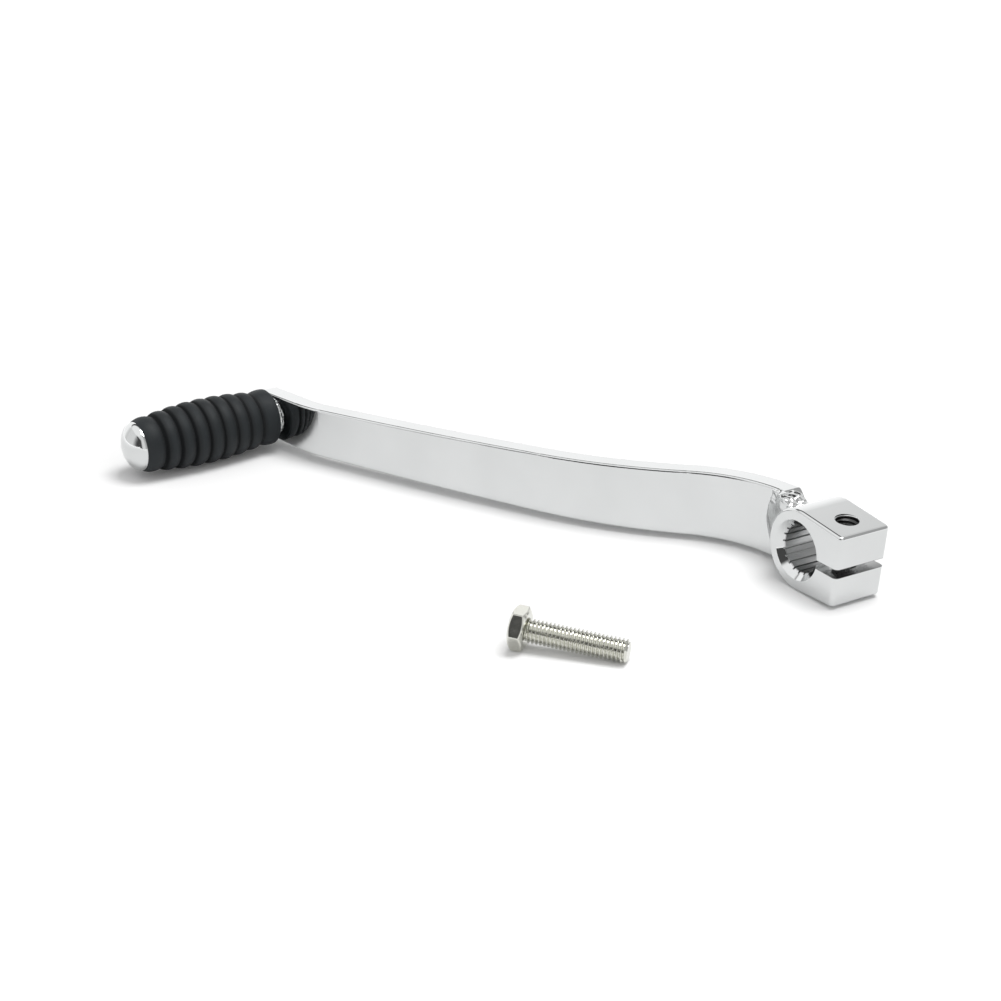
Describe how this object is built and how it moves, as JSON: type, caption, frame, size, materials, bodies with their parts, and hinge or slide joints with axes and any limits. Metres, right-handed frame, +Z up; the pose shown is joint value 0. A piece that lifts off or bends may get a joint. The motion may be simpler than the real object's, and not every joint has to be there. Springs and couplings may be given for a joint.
{
  "type": "gear lever",
  "caption": "Bent flat steel lever with a split serrated clamp at one end and a ribbed rubber toe peg at the other, its clamp bolt lying beside it.",
  "frame": {"origin": "centre of the serrated clamp bore, halfway along the clamp's width", "axes": "+X from the clamp towards the toe peg, +Y along the bore to the outboard side, where the peg points, +Z up as the lever lies in the picture"},
  "size_m": [0.1883, 0.137, 0.022],
  "materials": {
    "chrome": "bright plated, slightly uneven",
    "rubber": "matte moulded",
    "bolt": "bright zinc plated"
  },
  "bodies": {
    "root": {"lever_bar": "chrome", "clamp_boss": "chrome", "boss_weld": "chrome", "toe_peg": "chrome", "peg_weld": "chrome", "peg_rubber": "rubber", "clamp_bolt": "bolt"}
  },
  "joints": []
}
